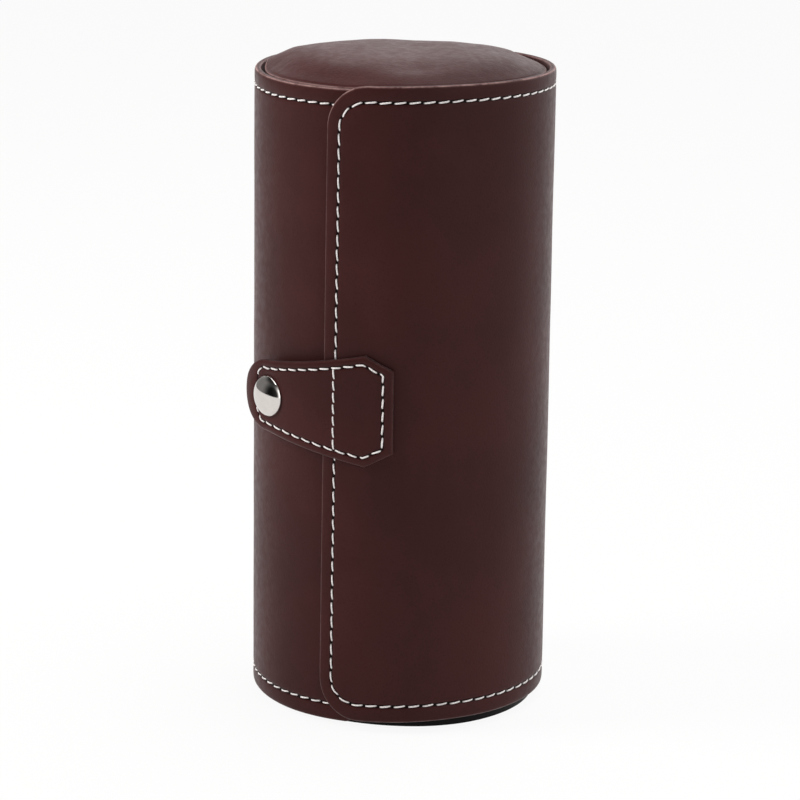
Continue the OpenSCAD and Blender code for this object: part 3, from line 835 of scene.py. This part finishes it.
def panel_stitches(name, point, length, corner, steps_top, slant):
    line = panel_seam(length, corner, steps_top)
    places = seam_places(run_of(line)[-1], PITCH)
    return stitches(name, [(line, point, places, 3.5, slant, CHANNEL)])


tray_stitches = panel_stitches(
    "tray_stitches", tray_point, TRAY_LEN, TRAY_CORNER, TRAY_STEPS, 0.18
)
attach(tray_stitches, "case")
flap_stitches = panel_stitches(
    "flap_stitches", flap_point, FLAP_LEN, FLAP_CORNER, FLAP_STEPS, -0.18
)
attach(flap_stitches, "flap")

# two stitches at each rim cross the bare band
hinge_rows = []
for z in (RIM_HI - SEAM * TOP_F, RIM_LO + SEAM * LOW_F):
    line = [(-BAND + 0.2 * i, z) for i in range(47)]
    hinge_rows.append((line, wrap_point, [2.3, 6.6], 3.0, 0.1, 0.75))
hinge_stitches = stitches("hinge_stitches", hinge_rows)
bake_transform(hinge_stitches)

# the stitches that the cap covers are left out
round_line = [tuple(p) for p in tab_seam_line] + [tuple(tab_seam_line[0])]
round_run = run_of(round_line)
round_count = round(round_run[-1] / TAB_PITCH)
round_places = []
for k in range(round_count):
    u = round_run[-1] / round_count * (k + 0.5)
    spot = sample(round_line, round_run, u)[0]
    if math.hypot(spot.x - SNAP_S, spot.y) > CAP_R + 0.05:
        round_places.append(u)
# a row across the tab, where its sewn part ends
cross_s = (TAB_START - TAB_FOLD) * TAB_OUT
cross_half = tab_half(cross_s) - TAB_SEAM
cross_line = [(cross_s, lerp(-cross_half, cross_half, i / 40)) for i in range(41)]
cross_count = 7
cross_pitch = run_of(cross_line)[-1] / cross_count
cross_places = [cross_pitch * (k + 0.5) for k in range(cross_count)]
tab_stitches = stitches(
    "tab_stitches",
    [
        (round_line, tab_point, round_places, 3.15, 0.16, TAB_CHANNEL),
        (cross_line, tab_point, cross_places, 3.15, -0.16, 0.12),
    ],
)
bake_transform(tab_stitches)


# ---- Padded ends -------------------------------------------------------------
def round_sheet(name, profile, around, shape, material, rim_wear=None):
    """A sheet turned about Z from a profile of (radius, height), reshaped point by point.
    The last argument gives the wear and painted highlight of rings, counted back from the last
    ring."""
    verts, faces, wear = [shape(0.0, profile[0][1], 0.0)], [], [0.0]
    last = len(profile) - 1
    for j, (r, z) in enumerate(profile[1:], 1):
        for k in range(around):
            verts.append(shape(r, z, 2 * math.pi * k / around))
            wear.append((rim_wear or {}).get(last - j, 0.0))
    for k in range(around):
        faces.append((0, 1 + k, 1 + (k + 1) % around))
    for a, b, c, d in tube_faces(last, around, 1):
        faces.append((a, d, c, b))
    return piece(name, verts, faces, material, {"wear": wear})


# Lumps of the hand-laid wadding: angle in degrees, radius, height, spread
LUMPS = [
    (150, 20, 0.35, 15), (60, 24, 0.25, 12), (28, 33, -0.55, 7), (75, 34, -0.35, 9),
    (205, 31, 0.2, 10), (-60, 30, -0.25, 11), (-15, 27, 0.15, 12), (110, 33, 0.25, 8),
    (250, 24, -0.15, 10),
]
# Rise and fall of the wadding from side to side: place along the photograph's width, and height
CREST = [
    (-41, 1.0), (-33, 0.95), (-30.5, 0.55), (-28, 0.3), (-24, -0.05), (-16.4, -0.5), (-11, -0.48),
    (-7, -0.65), (-2, -0.95), (2.5, -1.1), (6, -0.95), (9.6, -0.77), (14, -0.42), (19.5, -0.28),
    (23.7, 0.0), (29, 0.28), (31, 0.32), (33.2, 0.0), (36, -0.05), (41, 0.0),
]
CREST_U, CREST_H = zip(*CREST)


def top_shape(r, z, a):
    x, y = r * math.cos(a), r * math.sin(a)
    lift = 0.0
    for at, far, high, wide in LUMPS:
        lx, ly = far * math.cos(math.radians(at)), far * math.sin(math.radians(at))
        lift += high * math.exp(-((x - lx) ** 2 + (y - ly) ** 2) / (2 * wide * wide))
    lift *= smooth((40.0 - r) / 5.0)
    soft = smooth((38.6 - r) / 14.0)
    lift += soft * 0.12 * noise.noise(Vector((x * 0.09, y * 0.09, 1.7)))
    # the crest fades towards the front edge
    crest = float(np.interp(RIGHT_X * x + RIGHT_Y * y, CREST_U, CREST_H))
    away = RIGHT_X * y - RIGHT_Y * x
    crest *= 1 - smooth((r - 28.0) / 10.0) * smooth((10.0 - away) / 16.0)
    lift += smooth((z - 187.0) / 3.0) * crest
    # the lip swells a little over the wall's top
    swell = 1 + 0.4 / PAD_R * smooth((r - 37.0) / 3.0) * smooth((z - 188.4) / 1.6)
    x, y = x * swell, y * swell
    # the edge sinks under the rim at the front left
    turn = (math.degrees(a) + 112.0 + 180.0) % 360.0 - 180.0
    lift -= 0.95 * smooth((50.0 - abs(turn)) / 26.0) * smooth((r - 29.0) / 10.0)
    return (PAD_X + x, y, z + lift)


CROWN_R, CROWN_Z, CROWN_H = 39.7, 190.5, 6.2
top_profile = []
for i in range(27):
    r = CROWN_R * math.sin(math.pi / 2 * i / 26)
    top_profile.append((r, CROWN_Z + CROWN_H * (1 - (r / PAD_R) ** 4)))
# the rolled lip and the side
top_profile += [
    (39.95, 190.98), (40.2, 190.86), (40.36, 190.76), (40.5, 190.74), (40.66, 190.72),
    (40.8, 190.62), (40.9, 190.46), (40.97, 190.22), (PAD_R, 189.9), (PAD_R, 189.2),
    (PAD_R, 187.5), (PAD_R, 185.75),
]
# the pad lip's light line: wear and a painted highlight
top_wear = {5: 0.3, 6: 0.6, 7: 0.25}
top_cushion = round_sheet("top_cushion", top_profile, 144, top_shape, hide_plain, top_wear)
face_out(top_cushion, (0, 0, 150))
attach(top_cushion, "case")
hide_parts("top_pad_cover", "top_pad_foam")


def foot_shape(r, z, a):
    x, y = r * math.cos(a), r * math.sin(a)
    lift = 0.05 * noise.noise(Vector((x * 0.1, y * 0.1, 4.0))) if 0.3 < z < 3 else 0.0
    # the pad is pressed flat further out on its right side
    full = smooth((math.cos(a - math.radians(28.0)) + 0.5) / 1.1)
    if z < 2.0:
        z *= 1 - 0.8 * full
    return (PAD_X + x, y, z + lift * (1 - full))


FOOT_FLAT_R = 36.0
foot_profile = [(i * 3.6, 0.0) for i in range(11)]
for i in range(1, 12):
    out = math.sin(math.pi / 2 * (i / 11))
    foot_profile.append((FOOT_FLAT_R + (PAD_R - FOOT_FLAT_R) * out, 1.2 * out ** 2.5))
foot_profile += [(PAD_R, 1.9), (PAD_R, 3.2), (PAD_R, 5.0), (PAD_R, 6.65)]
foot_cushion = round_sheet("foot_cushion", foot_profile, 144, foot_shape, shaded_foot_hide)
face_out(foot_cushion, (0, 0, 40))
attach(foot_cushion, "case")
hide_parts("bottom_pad_cover", "bottom_pad_foam")


# ---- Suede rounds inside the ends --------------------------------------------
TRAY_FROM, TRAY_TO = 84.4, 281.6  # degrees between which the tray's lining is the wall


def room_reach(a, flap_side, tray_side):
    """How far a flat round piece reaches at angle a: less on the side where the flap closes."""
    degrees = math.degrees(a) % 360
    return tray_side if TRAY_FROM <= degrees <= TRAY_TO else flap_side


def end_facing(name, z_in, z_out):
    """The suede round glued inside an end: a face towards the room and a rolled edge."""
    up = 1.0 if z_out > z_in else -1.0
    rim_r = 41.72

    def shape(r, z, a):
        x, y = r * math.cos(a), r * math.sin(a)
        k = min(1.0, room_reach(a, 41.28, rim_r) / r) if r > 0 else 1.0
        ripple = 0.04 * noise.noise(Vector((x * 0.1, y * 0.1, z)))
        return (x * k, y * k, z + (ripple if z == z_in else 0.0))

    profile = [(min(2.25 * i, 41.0), z_in) for i in range(19)]
    profile += [(41.45, z_in + up * 0.08), (rim_r, z_in + up * 0.3), (rim_r, z_out)]
    obj = round_sheet(name, profile, 120, shape, nap)
    face_out(obj, (0, 0, z_in + up * 30))
    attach(obj, "case")
    return obj


top_facing = end_facing("top_facing", ROOM_HI, ROOM_HI + 0.8)
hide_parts("top_disc_facing")
low_facing = end_facing("low_facing", ROOM_LO, ROOM_LO - 0.8)
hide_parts("bottom_disc_facing")


# ---- Dividers ----------------------------------------------------------------
# Rings of a sleeve's border: distance in from the edge, and depth under the face
SLEEVE_RINGS = [
    (4.0, 0.0), (2.2, 0.0), (1.5, -0.03), (1.2, 0.06), (0.9, -0.02), (0.45, 0.12), (0.12, 0.5),
    (0.0, 1.0),
]


def divider_outline(e):
    """Outline of a divider's plate, drawn in by e at its free side and a little at the wall."""
    reach, corner_r, corner_x = 18.0, 8.0, 10.0
    corner_y = math.sqrt((ROOM_R - corner_r) ** 2 - corner_x ** 2)
    last = math.atan2(corner_y, corner_x)
    free = [(reach - e, lerp(-corner_y, corner_y, i / 14)) for i in range(15)]
    turn = []
    for i in range(1, 10):
        a = last * i / 10
        x, y = (corner_r - e) * math.cos(a), (corner_r - e) * math.sin(a)
        turn.append((corner_x + x, corner_y + y))
    wall = []
    first = math.radians(73.4)
    for i in range(90):
        a = lerp(first, 2 * math.pi - first, i / 89)
        r = room_reach(a, 41.25, 41.75) - 0.15 * e
        wall.append((r * math.cos(a), r * math.sin(a)))
    return free + turn + wall + [(x, -y) for x, y in reversed(turn)]


def divider(name, z, sleeve):
    """A divider's suede sleeve: flat faces, a shallow groove near the edge, and a rolled edge."""
    rings = SLEEVE_RINGS + [(0.0, WALL_T / 2)]
    rings += [(e, WALL_T - d) for e, d in reversed(SLEEVE_RINGS)]
    verts = [(x, y, z + d) for e, d in rings for x, y in divider_outline(e)]
    count = len(verts) // len(rings)
    faces = tube_faces(len(rings), count)
    # both faces are filled with rows that follow the outline
    for base in (0, (len(rings) - 1) * count):
        before = base
        for shrink in (0.8, 0.55, 0.3):
            start = len(verts)
            for x, y, h in verts[base : base + count]:
                verts.append((lerp(-10.0, x, shrink), y * shrink, h))
            for k in range(count):
                b = (k + 1) % count
                faces.append((before + k, start + k, start + b, before + b))
            before = start
        faces.append(tuple(before + k for k in range(count)))
    obj = closed_out(piece(name, verts, faces, nap))
    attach(obj, "case")
    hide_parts(sleeve)


divider("lower_divider_suede", ROOM_LO + BAY_H, "lower_divider_sleeve")
divider("upper_divider_suede", ROOM_LO + 2 * BAY_H + WALL_T, "upper_divider_sleeve")


# ---- Pillows -----------------------------------------------------------------
def pillow(which, bay):
    """A watch pillow: suede drawn over foam, gathered and seamed round each end."""
    half = PILLOW_H / 2
    roll = 7.0
    around = 96
    puckers = 24
    square = 2 / 2.5
    seed = 11.0 * bay
    middle_z = ROOM_LO + bay * (BAY_H + WALL_T) + BAY_H / 2
    # rings from an end to the middle: how far they are drawn in, and how far from the end
    rings = [(roll + 14.0, 0.55), (roll + 9.0, 0.2), (roll + 4.0, 0.0)]
    for i in range(9):
        a = math.pi / 2 * i / 8
        rings.append((roll * (1 - math.sin(a)), roll * (1 - math.cos(a))))
    seam_end = roll + 1.95
    rings += [(0.02, roll + 0.9), (0.16, roll + 1.25), (0.16, roll + 1.6), (0.02, seam_end)]
    rings += [(0.0, lerp(seam_end, half, i / 7)) for i in range(1, 8)]
    full = [(e, -half + h) for e, h in rings] + [(e, half - h) for e, h in reversed(rings[:-1])]
    verts = []
    for e, h in full:
        waist = 0.5 * (h / half) ** 2
        # soft puckers where the suede is gathered round the ends
        end = smooth((abs(h) - (half - 13)) / 11.0)
        for k in range(around):
            a = 2 * math.pi * k / around
            c, s = math.cos(a), math.sin(a)
            uneven = 2 * noise.noise(Vector((c * 2, s * 2, seed)))
            phase = k * 2 * math.pi / around * puckers + seed + uneven
            draw = e + waist
            draw += 0.10 * end * (1 + math.sin(phase))
            slack = noise.noise(Vector((c * 1.6, s * 1.6, h * 0.05 + seed)))
            draw += 0.10 * (1 - slack) * 0.5
            x = (PILLOW_HALF_X - draw) * math.copysign(abs(c) ** square, c)
            y = (PILLOW_HALF_Y - draw) * math.copysign(abs(s) ** square, s)
            verts.append((PILLOW_X + x, y, middle_z + h))
    faces = tube_faces(len(full), around)
    faces.append(tuple(reversed(range(around))))
    faces.append(tuple((len(full) - 1) * around + k for k in range(around)))
    obj = closed_out(piece(which + "_cushion", verts, faces, nap))
    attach(obj, which)
    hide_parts(which + "_cover", which + "_core", which + "_patch")


for bay, which in enumerate(("lower_pillow", "middle_pillow", "upper_pillow")):
    pillow(which, bay)


# ---- Snap cap ----------------------------------------------------------------
def snap_dome(name):
    """The pressed cap: a smooth dome with its edge turned under."""
    angles = [math.pi / 2 * i / 30 for i in range(31)]
    profile = [(CAP_R * math.sin(a), CAP_RISE * math.cos(a)) for a in angles]
    profile += [(6.22, -0.03), (6.1, -0.05), (5.6, -0.05), (5.5, 0.0), (5.5, 0.5)]
    a0 = TAB_START - SNAP_S / TAB_OUT
    out = Vector((math.cos(a0), math.sin(a0), 0.0))
    side = Vector((-math.sin(a0), math.cos(a0), 0.0))
    middle = Vector((FLAP_C[0], FLAP_C[1], TAB_Z)) + out * CAP_SEAT

    def shape(r, h, a):
        return middle + out * h + side * (r * math.cos(a)) + Vector((0.0, 0.0, r * math.sin(a)))

    return face_out(round_sheet(name, profile, 96, shape, nickel), tuple(middle))


cap_dome = snap_dome("cap_dome")
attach(cap_dome, "tab")
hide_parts("snap_cap")


# ---- CAD nodes that stay -----------------------------------------------------
KEPT = {
    "tray_board": board_card, "flap_board": board_card, "top_disc": board_card,
    "bottom_disc": board_card, "lower_divider_board": board_card,
    "upper_divider_board": board_card, "snap_stud": nickel, "snap_post": nickel,
    "snap_socket": nickel, "snap_spring": steel,
}
for name, material in KEPT.items():
    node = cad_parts[name]
    node.data.materials.clear()
    node.data.materials.append(material)

# ---- Studio ------------------------------------------------------------------
scene = bpy.context.scene
scene.view_settings.view_transform = "Standard"

# A mirror shows the studio as white, dimmer on the left, and dark overhead and in front. Other
# surfaces get a softer light, most of it from behind and from the right.
world = bpy.data.worlds.new("studio")
scene.world = world
n = Nodes(world, "Background", "Generated")
split = n.new("ShaderNodeSeparateXYZ")
n.link(n.where, split.inputs[0])
way_x, way_y, way_z = split.outputs


def along_floor(x, y):
    return n.math("ADD", n.math("MULTIPLY", way_x, x), n.math("MULTIPLY", way_y, y))


rays = n.new("ShaderNodeLightPath").outputs
seen = n.math("MAXIMUM", rays["Is Camera Ray"], rays["Is Transmission Ray"])
walls = n.remap(along_floor(RIGHT_X, RIGHT_Y), -0.8, 0.6, 0.24, 1.3)
ceiling = n.remap(way_z, 0.5, 0.9, 1.0, 0.06)
front = n.remap(way_y, -0.85, -0.35, 0.04, 1.0)
room = n.math("MULTIPLY", front, n.math("MULTIPLY", walls, ceiling))
mirrored = n.math("MULTIPLY", rays["Is Glossy Ray"], room)
other = n.math("SUBTRACT", 1.0, n.math("MAXIMUM", seen, rays["Is Glossy Ray"]))
soft = n.math("MULTIPLY", other, n.remap(along_floor(0.45, 0.89), -0.1, 0.8, 0.14, 1.2))
n.set(
    Color=(1.0, 1.0, 1.0, 1.0),
    Strength=n.math("ADD", n.math("MAXIMUM", seen, mirrored), soft),
)

# The floor is matt paper. Where it is seen it glows, to be nearly as white as the studio
floor_mesh = bpy.data.meshes.new("floor")
floor_mesh.from_pydata([(-3, -3, 0), (3, -3, 0), (3, 3, 0), (-3, 3, 0)], [], [(0, 1, 2, 3)])
floor = bpy.data.objects.new("floor", floor_mesh)
scene.collection.objects.link(floor)
n = Nodes(bpy.data.materials.new("floor_paper"))
n.set(Base_Color=n.mix(n.noise(3.0), (0.86, 0.85, 0.84), (0.90, 0.89, 0.88)), Roughness=0.9)
glow = n.new("ShaderNodeEmission")
glow.inputs["Strength"].default_value = 1.0
over = n.new("ShaderNodeMixShader")
rays = n.new("ShaderNodeLightPath").outputs
seen = n.math("MAXIMUM", rays["Is Camera Ray"], rays["Is Transmission Ray"])
seen = n.math("MAXIMUM", seen, rays["Is Glossy Ray"])
n.link(n.math("MULTIPLY", seen, 0.92), over.inputs["Fac"])
n.link(n.shader.outputs[0], over.inputs[1])
n.link(glow.outputs[0], over.inputs[2])
n.link(over.outputs[0], n.tree.nodes["Material Output"].inputs["Surface"])
floor_mesh.materials.append(n.owner)


def lamp(name, place, aim_z, size, power, colour=(1.0, 1.0, 1.0)):
    """A soft rectangle of light that looks at the case's axis at a height."""
    light = bpy.data.lights.new(name, "AREA")
    light.shape = "RECTANGLE"
    light.size, light.size_y = size
    light.energy = power
    light.color = colour
    obj = bpy.data.objects.new(name, light)
    obj.location = place
    way = Vector((0, 0, aim_z)) - Vector(place)
    obj.rotation_euler = way.to_track_quat("-Z", "Y").to_euler()
    scene.collection.objects.link(obj)
    return obj


key = lamp("key", (-0.95, -0.65, 0.70), 0.10, (0.5, 0.8), 14.0, (1.0, 0.98, 0.96))
key.visible_glossy = False
lamp("fill", (0.9, -0.35, 0.35), 0.10, (0.5, 0.8), 0.8)
lamp("top", (0.1, 0.15, 1.05), 0.15, (0.9, 0.6), 5.0)

# ---- Camera ------------------------------------------------------------------
# Fitted to the photograph: azimuth and roll, distance and height in mm, the point aimed at, and
# the lens in pixels of its frame
AZIMUTH, ROLL = math.radians(28.637), math.radians(0.747)
FAR, HIGH = 931.163, 320.735
AIM_Z, AIM_SIDE = 89.757, -0.027
LENS_PX, FRAME_PX, SENSOR = 3184.74, 800.0, 36.0
eye = Vector((FAR * math.sin(AZIMUTH), -FAR * math.cos(AZIMUTH), HIGH)) * MM
level = Vector((math.cos(AZIMUTH), math.sin(AZIMUTH), 0.0))
target = (Vector((0, 0, AIM_Z)) + level * AIM_SIDE) * MM
ahead = (target - eye).normalized()
right = ahead.cross(Vector((0, 0, 1))).normalized()
up = right.cross(ahead)
rolled_right = math.cos(ROLL) * right + math.sin(ROLL) * up
rolled_up = -math.sin(ROLL) * right + math.cos(ROLL) * up
camera_data = bpy.data.cameras.new("camera")
camera_data.sensor_width = SENSOR
camera_data.lens = LENS_PX * SENSOR / FRAME_PX
camera_data.clip_start = 0.01
camera_data.clip_end = 20.0
camera = bpy.data.objects.new("camera", camera_data)
turn = Matrix((rolled_right, rolled_up, -ahead)).transposed()
camera.matrix_world = Matrix.Translation(eye) @ turn.to_4x4()
scene.collection.objects.link(camera)
scene.camera = camera
